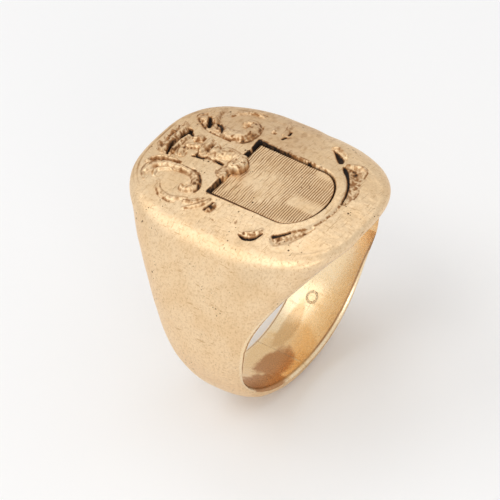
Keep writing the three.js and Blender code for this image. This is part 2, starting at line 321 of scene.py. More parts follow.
PLUMES = [
    (0.2, 0, [(-1.05, 7.3, 0.26), (-0.6, 7.5, 0.3), (-0.25, 7.3, 0.24)]),
    (0.24, 0, [(0.15, 7.4, 0.26), (0.32, 6.9, 0.4), (0.45, 6.4, 0.32)]),
    (0.24, 0, [(1.2, 7.4, 0.26), (1.4, 7.0, 0.38)]),
    (0.16, 0, [(-1.5, 7.75, 0.2), (-1.6, 7.5, 0.18)]),
    (-0.1, 0.55, [(-1.22, 7.5, 0.05), (-1.2, 7.1, 0.08), (-0.9, 6.92, 0.06), (-0.6, 7.0, 0.04)]),
    (-0.12, 0.65, [(0.98, 7.35, 0.06), (0.92, 7.0, 0.09), (1.15, 6.65, 0.09), (1.6, 6.6, 0.05)]),
    (-0.06, 0.4, [(-0.15, 7.6, 0.05), (-0.1, 7.25, 0.06)]),
    (-0.06, 0.4, [(0.1, 6.45, 0.05), (0.6, 6.2, 0.05)]),
]
HELMET = [
    (0.3, 0, [(-0.1, 5.9, 0.22), (0.7, 5.88, 0.38), (1.45, 5.9, 0.24)]),
    (0.2, 0, [(0.1, 5.1, 0.25), (0.75, 4.95, 0.42), (1.2, 5.1, 0.2)]),
    (0.34, 0, [(0.25, 4.25, 0.35), (0.75, 3.8, 0.72), (0.85, 3.2, 0.62)]),
    (-0.28, 1.0, [(-0.72, 6.25, 0.07), (-0.62, 5.75, 0.13), (-0.6, 5.2, 0.1)]),
    (-0.22, 0.95, [(-0.5, 6.0, 0.08), (-0.2, 6.05, 0.08)]),
    (-0.2, 0.9, [(-0.5, 5.3, 0.06), (-0.35, 5.05, 0.1)]),
    (-0.15, 0.8, [(-0.3, 4.55, 0.08), (-0.35, 4.2, 0.09)]),
    (-0.28, 1.0, [(-0.35, 4.0, 0.1), (-0.42, 3.6, 0.13), (-0.45, 3.3, 0.1)]),
    (-0.15, 0.8, [(-0.6, 2.95, 0.08)]),
    (-0.18, 0.9, [(0.35, 5.42, 0.1), (0.55, 5.42, 0.08)]),
    (-0.18, 0.95, [(0.85, 5.38, 0.1), (1.05, 5.4, 0.09)]),
    (-0.08, 0.55, [(0.1, 5.3, 0.05), (0.7, 5.3, 0.05), (1.5, 5.5, 0.05)]),
    (-0.03, 0.2, [(0.4, 3.72, 0.15)]),
]
GORGET = [
    (0.42, 0, [(-0.3, 2.45, 0.45), (0.2, 2.15, 0.85), (0.75, 2.3, 0.68)]),
    (-0.3, 1.0, [(1.25, 2.55, 0.1), (1.4, 2.3, 0.18), (1.35, 2.0, 0.1)]),
    (-0.1, 0.9, [(-0.75, 2.1, 0.07), (-0.55, 1.6, 0.09), (0.1, 1.25, 0.1), (0.7, 1.4, 0.08),
        (1.15, 1.75, 0.08)]),
    (-0.12, 0.75, [(-0.05, 2.85, 0.08), (0.2, 2.75, 0.1)]),
    (-0.12, 0.7, [(0.25, 2.45, 0.1), (0.55, 2.4, 0.07)]),
    (-0.08, 0.5, [(0.5, 2.75, 0.05), (0.8, 2.65, 0.06)]),
    (-0.1, 0.8, [(-0.4, 2.35, 0.09)]),
    (-0.08, 0.6, [(0.1, 1.85, 0.08)]),
    (-0.07, 0.6, [(-0.2, 2.0, 0.05), (-0.3, 1.7, 0.05)]),
    (-0.07, 0.5, [(0.5, 1.6, 0.06), (0.85, 1.85, 0.05)]),
]
TAB = [(0.08, 0, [(-1.5, 2.5, 0.35), (-1.25, 2.75, 0.5), (-0.95, 2.75, 0.4)])]
TAB_EDGE = [
    (-0.07, 0.55, [(-1.85, 2.55, 0.08), (-1.75, 2.95, 0.05), (-1.45, 3.25, 0.05), (-1.1, 3.35, 0.05)]),
]
RIBBONS = [
    (0.15, 0, [(-5.75, -2.8, 0.1), (-5.5, -3.35, 0.2), (-5.0, -3.8, 0.18), (-4.7, -3.95, 0.08)]),
    (0.26, 0, [(6.25, -2.9, 0.1), (6.5, -3.4, 0.2), (6.35, -4.0, 0.22), (6.0, -4.6, 0.12)]),
    (0.2, 0, [(5.1, -5.3, 0.12), (5.45, -5.9, 0.22), (5.6, -6.6, 0.2), (5.4, -7.0, 0.1)]),
    (-0.26, 1.0, [(-5.98, -2.45, 0.05), (-6.12, -3.0, 0.13), (-6.02, -3.5, 0.14), (-5.7, -3.9, 0.12),
        (-5.1, -4.15, 0.08)]),
    (-0.08, 0.7, [(-5.7, -3.15, 0.05), (-5.3, -3.6, 0.07)]),
    (-0.24, 0.95, [(6.08, -3.25, 0.06), (5.75, -3.85, 0.2), (5.4, -4.35, 0.28), (5.15, -4.6, 0.2)]),
    (-0.16, 0.22, [(-5.0, -5.6, 0.5), (-4.3, -6.3, 0.46), (-3.3, -6.95, 0.28), (-2.4, -7.35, 0.12)]),
    (-0.18, 0.4, [(4.85, -6.1, 0.6), (4.1, -6.8, 0.5), (3.1, -7.35, 0.4), (2.1, -7.72, 0.26),
        (1.2, -7.8, 0.1)]),
    (-0.2, 1.0, [(-4.85, -5.15, 0.16), (-4.5, -5.5, 0.1), (-3.8, -6.1, 0.07)]),
    (-0.1, 0.62, [(-3.8, -6.1, 0.08), (-2.6, -7.08, 0.08), (-1.4, -7.52, 0.07), (0.0, -7.7, 0.08),
        (1.2, -7.6, 0.08)]),
    (-0.22, 1.0, [(4.75, -5.2, 0.08), (4.4, -5.65, 0.2), (3.8, -6.3, 0.12), (3.0, -6.9, 0.1),
        (2.0, -7.35, 0.07), (1.1, -7.6, 0.06)]),
    (-0.16, 0.85, [(4.95, -6.05, 0.16), (4.65, -6.4, 0.18), (4.3, -6.45, 0.1)]),
    (-0.1, 0.7, [(4.2, -7.2, 0.06), (3.5, -7.5, 0.07), (3.0, -7.95, 0.06), (2.1, -8.1, 0.06)]),
    (-0.08, 0.6, [(5.4, -7.1, 0.05), (4.8, -7.25, 0.06), (4.3, -7.4, 0.05)]),
]
STAIN = -0.001  # the height of a stroke that only darkens, given below as (soot, path)
SHIELD_GROOVE = [
    (1.0, [(-3.52, 2.45, 0.2), (-3.54, 1.0, 0.14), (-3.53, -0.6, 0.12), (-3.5, -2.2, 0.07),
        (-3.48, -3.2, 0.03)]),
    (0.9, [(-3.5, 2.45, 0.2), (-2.9, 2.42, 0.16), (-2.2, 2.42, 0.16), (-1.9, 2.42, 0.12)]),
    (0.5, [(-2.2, 2.42, 0.15), (-0.7, 2.42, 0.16)]),
    (1.0, [(1.25, 2.4, 0.2), (1.6, 2.42, 0.13), (2.1, 2.42, 0.08)]),
    (0.6, [(1.9, 2.38, 0.14), (2.6, 2.38, 0.14)]),
    (1.0, [(2.5, 2.4, 0.12), (3.5, 2.45, 0.2)]),
    (0.95, [(3.47, 2.4, 0.2), (3.5, 1.2, 0.11), (3.5, -0.1, 0.1), (3.5, -0.9, 0.05)]),
    (0.7, [(3.42, 2.3, 0.24), (3.42, 1.0, 0.2), (3.42, -0.9, 0.18)]),
    (0.55, [(3.5, 2.4, 0.3), (3.5, 1.0, 0.28), (3.5, -0.9, 0.26), (3.5, -2.6, 0.22),
        (3.45, -4.2, 0.15)]),
    (1.0, [(3.45, -2.55, 0.14), (3.45, -2.85, 0.1)]),
    (0.6, [(3.42, -4.2, 0.14), (3.0, -5.4, 0.13), (1.9, -6.3, 0.12), (0.6, -6.72, 0.1)]),
    (0.85, [(0.3, -6.75, 0.08), (-0.8, -6.68, 0.08), (-1.7, -6.4, 0.1), (-2.4, -6.0, 0.09),
        (-2.9, -5.6, 0.05)]),
    (0.35, [(-2.6, -5.9, 0.06), (-3.2, -5.2, 0.07), (-3.48, -4.2, 0.07), (-3.48, -3.0, 0.07)]),
]
GRIME = [  # broad ragged stains that follow the roughest ornament
    (0.6, [(-0.1, 2.75, 0.3), (0.25, 2.45, 0.36), (0.75, 2.6, 0.3)]),
    (0.65, [(-1.3, 8.55, 0.22), (0.0, 8.65, 0.26), (1.5, 8.6, 0.32)]),
    (0.5, [(-1.2, 9.3, 0.25), (0.2, 9.5, 0.22), (1.6, 9.4, 0.25)]),
    (0.7, [(2.95, 7.35, 0.25), (3.4, 7.5, 0.34), (3.8, 7.8, 0.2)]),
    (0.5, [(3.3, 6.5, 0.25), (2.9, 5.9, 0.25)]),
    (0.5, [(2.6, 3.9, 0.25), (3.4, 3.35, 0.25)]),
    (0.55, [(-2.15, 5.4, 0.2), (-2.3, 4.6, 0.22), (-2.7, 3.95, 0.16)]),
    (0.5, [(-0.6, 6.0, 0.2), (-0.45, 4.8, 0.18), (-0.45, 3.5, 0.2), (-0.7, 2.9, 0.14)]),
    (0.5, [(0.3, 5.45, 0.2), (1.1, 5.4, 0.22)]),
    (0.55, [(4.9, -5.6, 0.35), (4.4, -6.3, 0.45), (3.6, -6.95, 0.35), (2.8, -7.5, 0.3)]),
    (0.4, [(-5.0, -5.5, 0.3), (-4.2, -6.3, 0.35), (-3.3, -6.95, 0.2)]),
    (0.5, [(-5.9, -3.0, 0.16), (-5.4, -3.75, 0.2), (-4.9, -4.0, 0.12)]),
]
WEAR_LINES = [
    (-0.02, 0.12, [(-4.35, 1.0, 0.03), (-4.2, -1.0, 0.035), (-4.05, -2.8, 0.03)]),
    (-0.02, 0.12, [(-4.0, 1.6, 0.03), (-3.9, 0.0, 0.03), (-3.85, -1.6, 0.03)]),
    (-0.02, 0.1, [(-4.75, 0.4, 0.03), (-4.55, -1.6, 0.03), (-4.35, -3.4, 0.03)]),
]
ORNAMENT = LEFT_SCROLL + LEFT_LEAVES + RIGHT_SCROLL + RIGHT_LEAVES + CORONET + PLUMES + HELMET
ORNAMENT += TAB_EDGE + RIBBONS + [(STAIN, soot, path) for soot, path in SHIELD_GROOVE + GRIME] + WEAR_LINES

# ---- raster of the relief ----
WORN_RELIEF = 0.9  # how much of their height the ridges keep
CUT_WIDEN = 1.25  # how much the cuts have spread with wear
RIDGE_FULLNESS = 1.7  # 1 is a parabolic ridge, and more is fuller
CUT_FULLNESS = 0.7  # 1 is a parabolic cut, and less is fuller
LEAST_WIDTH = 0.03
STROKE_STEP = 0.05
RAISED = 0.02  # what stands this far from the plain face is ornament
RIDGE_RISE = 0.08  # height at which a place counts as fully on a ridge
RELIEF_BLUR = 0.03
ORNAMENT_GRAIN = ((5, 0.12, 0.008), (6, 0.28, 0.014))  # seed, size and height of the bumps on the ornament
FACE_GRAIN = ((3, 0.12, 0.003), (7, 0.3, 0.006), (4, 1.2, 0.008))  # and of those all over the face
LIP_RISE = 0.02  # raised lip and border round the shield's foot
BORDER_RISE = 0.05
BORDER_WIDTH = 0.95
RIM_LINES = ((0.912, 0.008, 1.0), (0.942, 0.007, 0.7))  # place as a share of the outline, width, strength
RIM_LINE_DEPTH = 0.03
SPECKLE = (8, 0.12)  # seed and size of the grain that breaks up each kind of patina and painted shade
PATCHES = (10, 0.9)
SPECKS = (9, 0.17)
CREVICES = (15, 0.22)
GROUND = (14, 0.2)
RASTER_STEP = 0.04
RASTER_X = np.arange(-8.4, 8.4, RASTER_STEP)
RASTER_Y = np.arange(-12.0, 12.0, RASTER_STEP)
GRID_X, GRID_Y = np.meshgrid(RASTER_X, RASTER_Y)


def spline(path):
    """Points a short step apart along a Catmull-Rom curve through the path."""
    p = np.array(path, float)
    if len(p) == 1:
        return p
    p = np.vstack([2 * p[0] - p[1], p, 2 * p[-1] - p[-2]])
    pieces = []
    for a, b, c, d in zip(p[:-3], p[1:-2], p[2:-1], p[3:]):
        count = max(2, int(np.hypot(*(c - b)[:2]) / STROKE_STEP))
        t = np.linspace(0, 1, count, endpoint=False)[:, None]
        bend = (2 * a - 5 * b + 4 * c - d) * t**2 + (3 * b - a - 3 * c + d) * t**3
        pieces.append((2 * b + (c - a) * t + bend) / 2)
    pieces.append(p[-2:-1])
    return np.vstack(pieces)


def coverage(path, widen=1.0):
    """How far inside the swept stroke each raster point lies: 1 on its middle line and 0 at its edge."""
    inside = np.zeros_like(GRID_X)
    for x, y, width in spline(path):
        width = max(width * widen, LEAST_WIDTH)
        i0, i1 = np.searchsorted(RASTER_X, (x - width, x + width))
        j0, j1 = np.searchsorted(RASTER_Y, (y - width, y + width))
        part = (slice(j0, j1), slice(i0, i1))
        away = ((GRID_X[part] - x) ** 2 + (GRID_Y[part] - y) ** 2) / width**2
        inside[part] = np.maximum(inside[part], 1 - away)
    return inside


def blur(field, radius):
    """Gaussian blur of a raster; radius in mm."""
    sigma = radius / RASTER_STEP
    reach = int(3 * sigma) + 1
    kernel = np.exp(-0.5 * (np.arange(-reach, reach + 1) / sigma) ** 2)
    kernel /= kernel.sum()
    padded = np.pad(field, reach, mode="edge")
    rows = np.apply_along_axis(np.convolve, 1, padded, kernel, "valid")
    return np.apply_along_axis(np.convolve, 0, rows, kernel, "valid")


def grain(seed, size):
    """Smooth random bumps about size mm across, with a spread of one."""
    noise = blur(np.random.default_rng(seed).normal(size=GRID_X.shape), size / 2)
    return noise / noise.std()


def shield_depth(x, y):
    """Distance inside the shield's outline, below zero outside it."""
    turn = SHIELD_TOP - SHIELD_SIDE
    straight = np.minimum(SHIELD_HALF_X - np.abs(x), SHIELD_TOP - y)
    u = x / SHIELD_HALF_X
    v = (y - turn) / SHIELD_FOOT
    q = np.maximum(np.hypot(u, v), 1e-6)
    slope = np.hypot(u / SHIELD_HALF_X, v / SHIELD_FOOT) / q
    foot = (1 - q) / np.maximum(slope, 1e-6)
    return np.where(y > turn, straight, foot)


def rim_lines(x, y):
    """Faint turned lines on the face's rounded edge, strongest towards the crest and the +X side."""
    outline = face_radius(x / FACE_HALF_X, y / FACE_HALF_Y)
    strong = smooth((y / FACE_HALF_Y + 0.4 * x / FACE_HALF_X + 0.1) / 0.9)
    lines = [strength * np.exp(-((outline - place) / width) ** 2) for place, width, strength in RIM_LINES]
    return strong * np.maximum(*lines)


def draw(strokes):
    """Raises the ridges, presses the cuts into them, and gathers the soot."""
    height = np.zeros_like(GRID_X)
    for depth, _, path in strokes:
        if depth > 0:
            inside = coverage(path)
            height = np.maximum(height, WORN_RELIEF * depth * (1 - (1 - inside) ** RIDGE_FULLNESS))
    soot = np.zeros_like(GRID_X)
    cut = np.zeros_like(GRID_X)
    for depth, dark, path in strokes:
        if depth < 0:
            inside = coverage(path, CUT_WIDEN)
            cut = np.maximum(cut, -depth * inside**CUT_FULLNESS)
            soot = np.maximum(soot, dark * smooth(inside * 2.2))
    return height - cut, soot


def relief():
    """Rasters of the face's height above its plain dome and of the patina and painted shade on it."""
    height, soot = draw(ORNAMENT)
    collar, collar_soot = draw(GORGET + TAB)
    on_collar = (blur((collar > RAISED).astype(float), 0.05) > 0.4).astype(float)
    height = np.where(collar > RAISED, np.maximum(height, 0) + collar, height + np.minimum(collar, 0))
    soot = np.where(on_collar > 0, collar_soot, np.maximum(soot, collar_soot))
    ridge = np.clip(height / RIDGE_RISE, 0, 1)
    ornate = np.clip(blur((np.abs(height) > RAISED).astype(float), 0.1) * 1.2, 0, 1)
    soft_ridge = blur(ridge, 0.06)
    outline = smooth(soft_ridge * (1 - soft_ridge) * 4 - 0.1)
    height = blur(height, RELIEF_BLUR)
    for seed, across, rise in ORNAMENT_GRAIN:
        height += ornate * rise * grain(seed, across)
    for seed, across, rise in FACE_GRAIN:
        height += rise * grain(seed, across)

    # the shield's recess, and the lip and border round its foot
    inside = shield_depth(GRID_X, GRID_Y)
    sunk = smooth((inside + 0.08) / 0.2) * (1 - blur(on_collar, 0.05))
    height = height * (1 - sunk) - sunk * (face_z(GRID_X, GRID_Y) - RECESS_FLOOR)
    lip = np.exp(-((inside + 0.16) / 0.1) ** 2) * smooth((-1 - GRID_Y) / 3)
    border = smooth((BORDER_WIDTH + inside) / 0.3) * smooth(-inside / 0.2) * smooth((-2 - GRID_Y) / 3)
    height += LIP_RISE * lip + BORDER_RISE * border

    # patina and painted shade: soot in the cuts, patina with painted shade along the ridges' feet and in
    # crevices, specks, a little tone all over, and painted shade on the +X, +Y part of the face
    speckle = grain(*SPECKLE)
    patches = np.clip(0.5 + 0.45 * grain(*PATCHES), 0, 1)
    lines = rim_lines(GRID_X, GRID_Y) * patches
    height -= RIM_LINE_DEPTH * lines
    deep = smooth((soot - 0.75) / 0.25)
    soot = soot * (deep + (1 - deep) * np.clip(0.6 + 0.55 * speckle, 0, 1))
    # patina with painted shade along the ridges' feet, darkest where the surface lies below its surroundings,
    # and the same in crevices
    shaded = np.clip(0.55 + 0.9 * (blur(height, 0.25) - height) / 0.1, 0, 1)
    foot_patina_and_shade = outline * (0.2 + 0.75 * patches * np.clip(0.55 + 0.6 * speckle, 0, 1)) * shaded * (1 - sunk)
    specks = 0.85 * ornate * patches * smooth((grain(*SPECKS) - 1.0) / 0.5)
    crevice_patina_and_shade = outline * patches * smooth((grain(*CREVICES) - 0.35) / 0.6) * (1 - sunk)
    # painted shade: the face grows darker towards +X and +Y
    shadow_side = smooth((GRID_X + 1) / 6) * smooth((GRID_Y + 5) / 5)
    tone_and_painted_shade = 0.05 * np.clip(grain(*GROUND), 0, 2) + 0.04 + 0.13 * shadow_side
    bumps = 0.13 * ridge * (1 + 0.9 * speckle)
    patina_and_shade = np.maximum.reduce([soot, foot_patina_and_shade, specks, crevice_patina_and_shade, tone_and_painted_shade, 0.6 * lines, bumps])
    return height, blur(np.clip(patina_and_shade, 0, 1), 0.025)


RELIEF, PATINA_AND_SHADE = relief()


def sample(raster, x, y):
    """Bilinear lookup of a raster at points in mm."""
    u = np.clip((x - RASTER_X[0]) / RASTER_STEP, 0, len(RASTER_X) - 1.001)
    v = np.clip((y - RASTER_Y[0]) / RASTER_STEP, 0, len(RASTER_Y) - 1.001)
    i = u.astype(int)
    j = v.astype(int)
    s = u - i
    t = v - j
    low = raster[j, i] * (1 - s) + raster[j, i + 1] * s
    high = raster[j + 1, i] * (1 - s) + raster[j + 1, i + 1] * s
    return low * (1 - t) + high * t


# ---- meshes ----
def scene_object(name, data):
    obj = bpy.data.objects.new(name, data)
    bpy.context.scene.collection.objects.link(obj)
    return obj


def mesh_object(name, points, faces):
    mesh = bpy.data.meshes.new(name)
    mesh.from_pydata((np.asarray(points) * MM).tolist(), [], faces)
    mesh.validate()
    mesh.update()
    return scene_object(name, mesh)


def grid_faces(rows, columns, wrap=False):
    """Quads of a grid whose points are numbered row by row, turned to face outwards for rows that rise."""
    faces = []
    for a in range(0, (rows - 1) * columns, columns):
        for c in range(columns if wrap else columns - 1):
            d = (c + 1) % columns
            faces.append((a + c, a + d, a + columns + d, a + columns + c))
    return faces


def grid_edge(rows, columns):
    """Point numbers round the edge of such a grid, as one closed loop."""
    loop = list(range(columns))
    loop += [r * columns + columns - 1 for r in range(1, rows)]
    loop += [(rows - 1) * columns + c for c in range(columns - 2, -1, -1)]
    return loop + [r * columns for r in range(rows - 2, 0, -1)]


def strip(loop, below):
    """Quads from one closed loop of point numbers down to the next."""
    return [(loop[n], loop[n - 1], below[n - 1], below[n]) for n in range(1 - len(loop), 1)]


def fan(loop, tip):
    """Triangles from a closed loop of point numbers to the point below it."""
    return [(loop[n], loop[n - 1], tip) for n in range(1 - len(loop), 1)]


def outline_angles(cells_x, cells_y):
    """Section angles spaced evenly along the face's outline, starting at the corner -X, -Y."""
    t = np.linspace(0, math.pi / 2, 2001)
    x = FLAT_HALF_X * signed_power(np.cos(t), 2 / FACE_POWER)
    y = FLAT_HALF_Y * signed_power(np.sin(t), 2 / FACE_POWER)
    length = np.concatenate([[0], np.cumsum(np.hypot(np.diff(x), np.diff(y)))])
    corner = np.interp(math.pi / 4, t, length)
    side = np.interp(np.linspace(0, corner, cells_y // 2 + 1), length, t)
    end = np.interp(np.linspace(corner, length[-1], cells_x // 2 + 1), length, t)
    right = np.concatenate([-side[::-1], side[1:]])
    top = np.concatenate([end, math.pi - end[::-1][1:]])
    return right, top


def signet_head():
    """The head's outside: a warped grid on the face, then rings over its rounded rim and down the walls."""
    cells_x, cells_y = FACE_CELLS
    right, top = outline_angles(cells_x, cells_y)
    u = np.linspace(-1, 1, cells_x + 1)[None, :].repeat(cells_y + 1, 0)
    v = np.linspace(-1, 1, cells_y + 1)[:, None].repeat(cells_x + 1, 1)
    radius = np.maximum(np.abs(u), np.abs(v))
    safe = np.maximum(radius, 1e-9)
    on_side = np.abs(u) >= np.abs(v)
    turn_side = np.interp(v / safe, np.linspace(-1, 1, cells_y + 1), right)
    turn_top = np.interp(-u / safe, np.linspace(-1, 1, cells_x + 1), top)
    turn_side = np.where(u > 0, turn_side, math.pi - turn_side)
    turn_top = np.where(v > 0, turn_top, -turn_top)
    angle = np.where(on_side, turn_side, turn_top)
    x = radius * FLAT_HALF_X * signed_power(np.cos(angle), 2 / FACE_POWER)
    y = radius * FLAT_HALF_Y * signed_power(np.sin(angle), 2 / FACE_POWER)
    z = face_z(x, y) + sample(RELIEF, x, y)
    points = [np.stack([x, y, z], -1).reshape(-1, 3)]
    faces = grid_faces(cells_y + 1, cells_x + 1)

    edge = grid_edge(cells_y + 1, cells_x + 1)
    turns = angle.reshape(-1)[edge]
    levels = list(WALL_TOP + RIM_ROUND * np.sin(np.linspace(math.pi / 2, 0, RIM_RINGS + 1)[1:]))
    levels += list(np.linspace(WALL_TOP, HEAD_SEAM - HEAD_OVERLAP, WALL_RINGS)[1:])
    first = len(points[0])
    loop = edge
    for z in levels:
        lift = np.clip((z - WALL_TOP) / RIM_ROUND, 0, 1)
        inset = RIM_ROUND * (1 - math.sqrt(max(0, 1 - lift * lift)))
        ring = wall_points(np.array(z), inset, turns)
        ring[:, 2] += sample(RELIEF, ring[:, 0], ring[:, 1]) * smooth((lift - 0.45) / 0.5)
        points.append(ring)
        below = range(first, first + len(edge))
        faces += strip(loop, below)
        loop = below
        first += len(edge)
    points.append(np.array([[0, 0, levels[-1]]]))
    faces += fan(loop, first)
    return mesh_object("signet_head_gold", dented(np.vstack(points)), faces)


def shank_body(name):
    """The band and shoulders as one closed skin, open to be cut into its pieces."""
    around = BAND_COLUMNS
    seam_side = HEAD_SEAM + BAND_OVERLAP
    angle = np.linspace(0, 2 * math.pi, around, endpoint=False)
    rings = [band_points(np.array(t), angle) for t in np.linspace(math.pi / 2 * 0.999, 0, BAND_RINGS)]
    rings += [wall_points(np.array(z), 0, angle) for z in np.linspace(0, seam_side, SHOULDER_RINGS)[1:]]
    points = np.vstack(rings)
    faces = grid_faces(len(rings), around, wrap=True)
    count = len(points)
    points = np.vstack([points, [[0, 0, rings[0][:, 2].mean()]], [[0, 0, seam_side]]])
    faces += fan(range(around), count)
    faces += fan(range(count - 1, count - around - 1, -1), count + 1)
    return mesh_object(name, dented(points), faces)


def bore_cutter():
    """The finger hole, with eased edges that follow the band's changing width."""
    around = BORE_COLUMNS
    angle = np.linspace(0, 2 * math.pi, around, endpoint=False)
    cx = np.sin(angle)
    cz = np.cos(angle)
    down = np.arctan2(-cz / OUTER_BOTTOM, np.abs(cx) / OUTER_SIDE)
    below = half_width_y(-OUTER_BOTTOM * np.sin(np.maximum(down, 0)))
    edge = np.where(cz < 0, below, half_width_y(BORE_RADIUS * cz))
    rows = []
    for side in (-1, 1):
        half = [(np.full(around, side * FAR), BORE_RADIUS + BEVEL_OUT)]
        for turn in np.linspace(0, math.pi / 2, BEVEL_STEPS):
            inward = 1 - math.cos(turn) ** (2 / BEVEL_ROUND)
            outward = 1 - math.sin(turn) ** (2 / BEVEL_ROUND)
            half.append((side * (edge - BEVEL_ACROSS * inward), BORE_RADIUS + BEVEL_OUT * outward))
        rows += half if side < 0 else half[::-1]
    points = np.vstack([np.stack([r * cx, y, r * cz], -1) for y, r in rows])
    faces = grid_faces(len(rows), around, wrap=True)
    faces.append(tuple(range(around - 1, -1, -1)))
    faces.append(tuple(range(len(points) - around, len(points))))
    return mesh_object("bore_cutter", points, faces)


def punch_cutter(angle_deg, along, major, minor):
    """A plain round punch mark: a torus lying on the wall of the finger hole."""
    turn = math.radians(angle_deg)
    outward = np.array([math.sin(turn), 0, math.cos(turn)])
    around = np.array([math.cos(turn), 0, -math.sin(turn)])
    finger = np.array([0.0, 1.0, 0.0])
    centre = outward * BORE_RADIUS + finger * along
    turns, steps = PUNCH_STEPS
    points = []
    for u in np.linspace(0, 2 * math.pi, turns, endpoint=False):
        spoke = math.cos(u) * around + math.sin(u) * finger
        for v in np.linspace(0, 2 * math.pi, steps, endpoint=False):
            points.append(centre + spoke * (major + minor * math.cos(v)) + outward * minor * math.sin(v))
    faces = []
    for i in range(turns):
        a = i * steps
        b = (i + 1) % turns * steps
        for j in range(steps):
            k = (j + 1) % steps
            faces.append((a + j, a + k, b + k, b + j))
    return mesh_object("punch_cutter", points, faces)


def box_cutter(low, high, turn=0.0):
    """A box between two corners, turned about the Y axis by degrees."""
    corners = [(x, y, z) for x in (low[0], high[0]) for y in (low[1], high[1]) for z in (low[2], high[2])]
    rotation = Matrix.Rotation(math.radians(turn), 3, "Y")
    points = [tuple(rotation @ Vector(p)) for p in corners]
    faces = [(0, 1, 3, 2), (4, 6, 7, 5), (0, 4, 5, 1), (2, 3, 7, 6), (0, 2, 6, 4), (1, 5, 7, 3)]
    return mesh_object("box_cutter", points, faces)


def cut(obj, cutter, operation):
    """Cuts an object with a closed cutter, which is used up."""
    modifier = obj.modifiers.new("cut", "BOOLEAN")
    modifier.operation = operation
    modifier.object = cutter
    modifier.solver = "MANIFOLD"
    bpy.context.view_layer.update()
    result = bpy.data.meshes.new_from_object(obj.evaluated_get(bpy.context.evaluated_depsgraph_get()))
    obj.modifiers.clear()
    obj.data = result
    bpy.data.objects.remove(cutter)
    return obj


def coordinates(items, key):
    """Coordinates held by a mesh's vertices or faces, in mm."""
    values = np.zeros(len(items) * 3)
    items.foreach_get(key, values)
    return values.reshape(-1, 3) / MM


def hang(obj, node, patina_and_shade, sharp_angle):
    """Stores the patina and painted shade, smooths the shading and hangs the piece on the frame."""
    attribute = obj.data.attributes.new("patina_and_shade", "FLOAT", "POINT")
    attribute.data.foreach_set("value", patina_and_shade.astype(np.float32))
    obj.data.polygons.foreach_set("use_smooth", np.ones(len(obj.data.polygons), bool))
    obj.data.set_sharp_from_angle(angle=math.radians(sharp_angle))
    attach(obj, "root")
    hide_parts(node)


def finish_piece(obj, node, outside, inside):
    """Gives a cut piece its patina and painted shade, a painted dark reflection along the finger hole's bevel
    and a darkened punch mark, gives its bore faces the polished finish, and hangs it on the frame.
    """
    mesh = obj.data
    mesh.materials.clear()
    mesh.materials.append(outside)
    mesh.materials.append(inside)
    co = coordinates(mesh.vertices, "co")
    patina_and_shade = np.where(co[:, 2] > ORNAMENT_FROM_Z, sample(PATINA_AND_SHADE, co[:, 0], co[:, 1]), 0)
    from_axis = np.hypot(co[:, 0], co[:, 2])
    # a painted dark reflection along the bevel of the finger hole
    radius, spread, strength = BEVEL_PAINTED_REFLECTION
    on_edge = (np.abs(from_axis - radius) < spread) & (np.abs(co[:, 1]) > 2)
    patina_and_shade = np.where(on_edge, strength, patina_and_shade)
    turn, along, reach, _ = HALLMARK
    toward = co @ (math.sin(math.radians(turn)), 0, math.cos(math.radians(turn)))
    in_punch = (from_axis > BORE_RADIUS + 0.02) & (toward > 0) & (np.abs(co[:, 1] - along) < 2 * reach)
    # the punch mark's hollow is painted darker
    patina_and_shade = np.where(in_punch & (from_axis < BORE_RADIUS + 0.2) & ~on_edge, PUNCH_DARKENING, patina_and_shade)
    centres = coordinates(mesh.polygons, "center")
    in_bore = np.hypot(centres[:, 0], centres[:, 2]) < BORE_RADIUS + BEVEL_OUT * 0.9
    mesh.polygons.foreach_set("material_index", in_bore.astype(np.int32))
    hang(obj, node, patina_and_shade, SHARP_ANGLE)


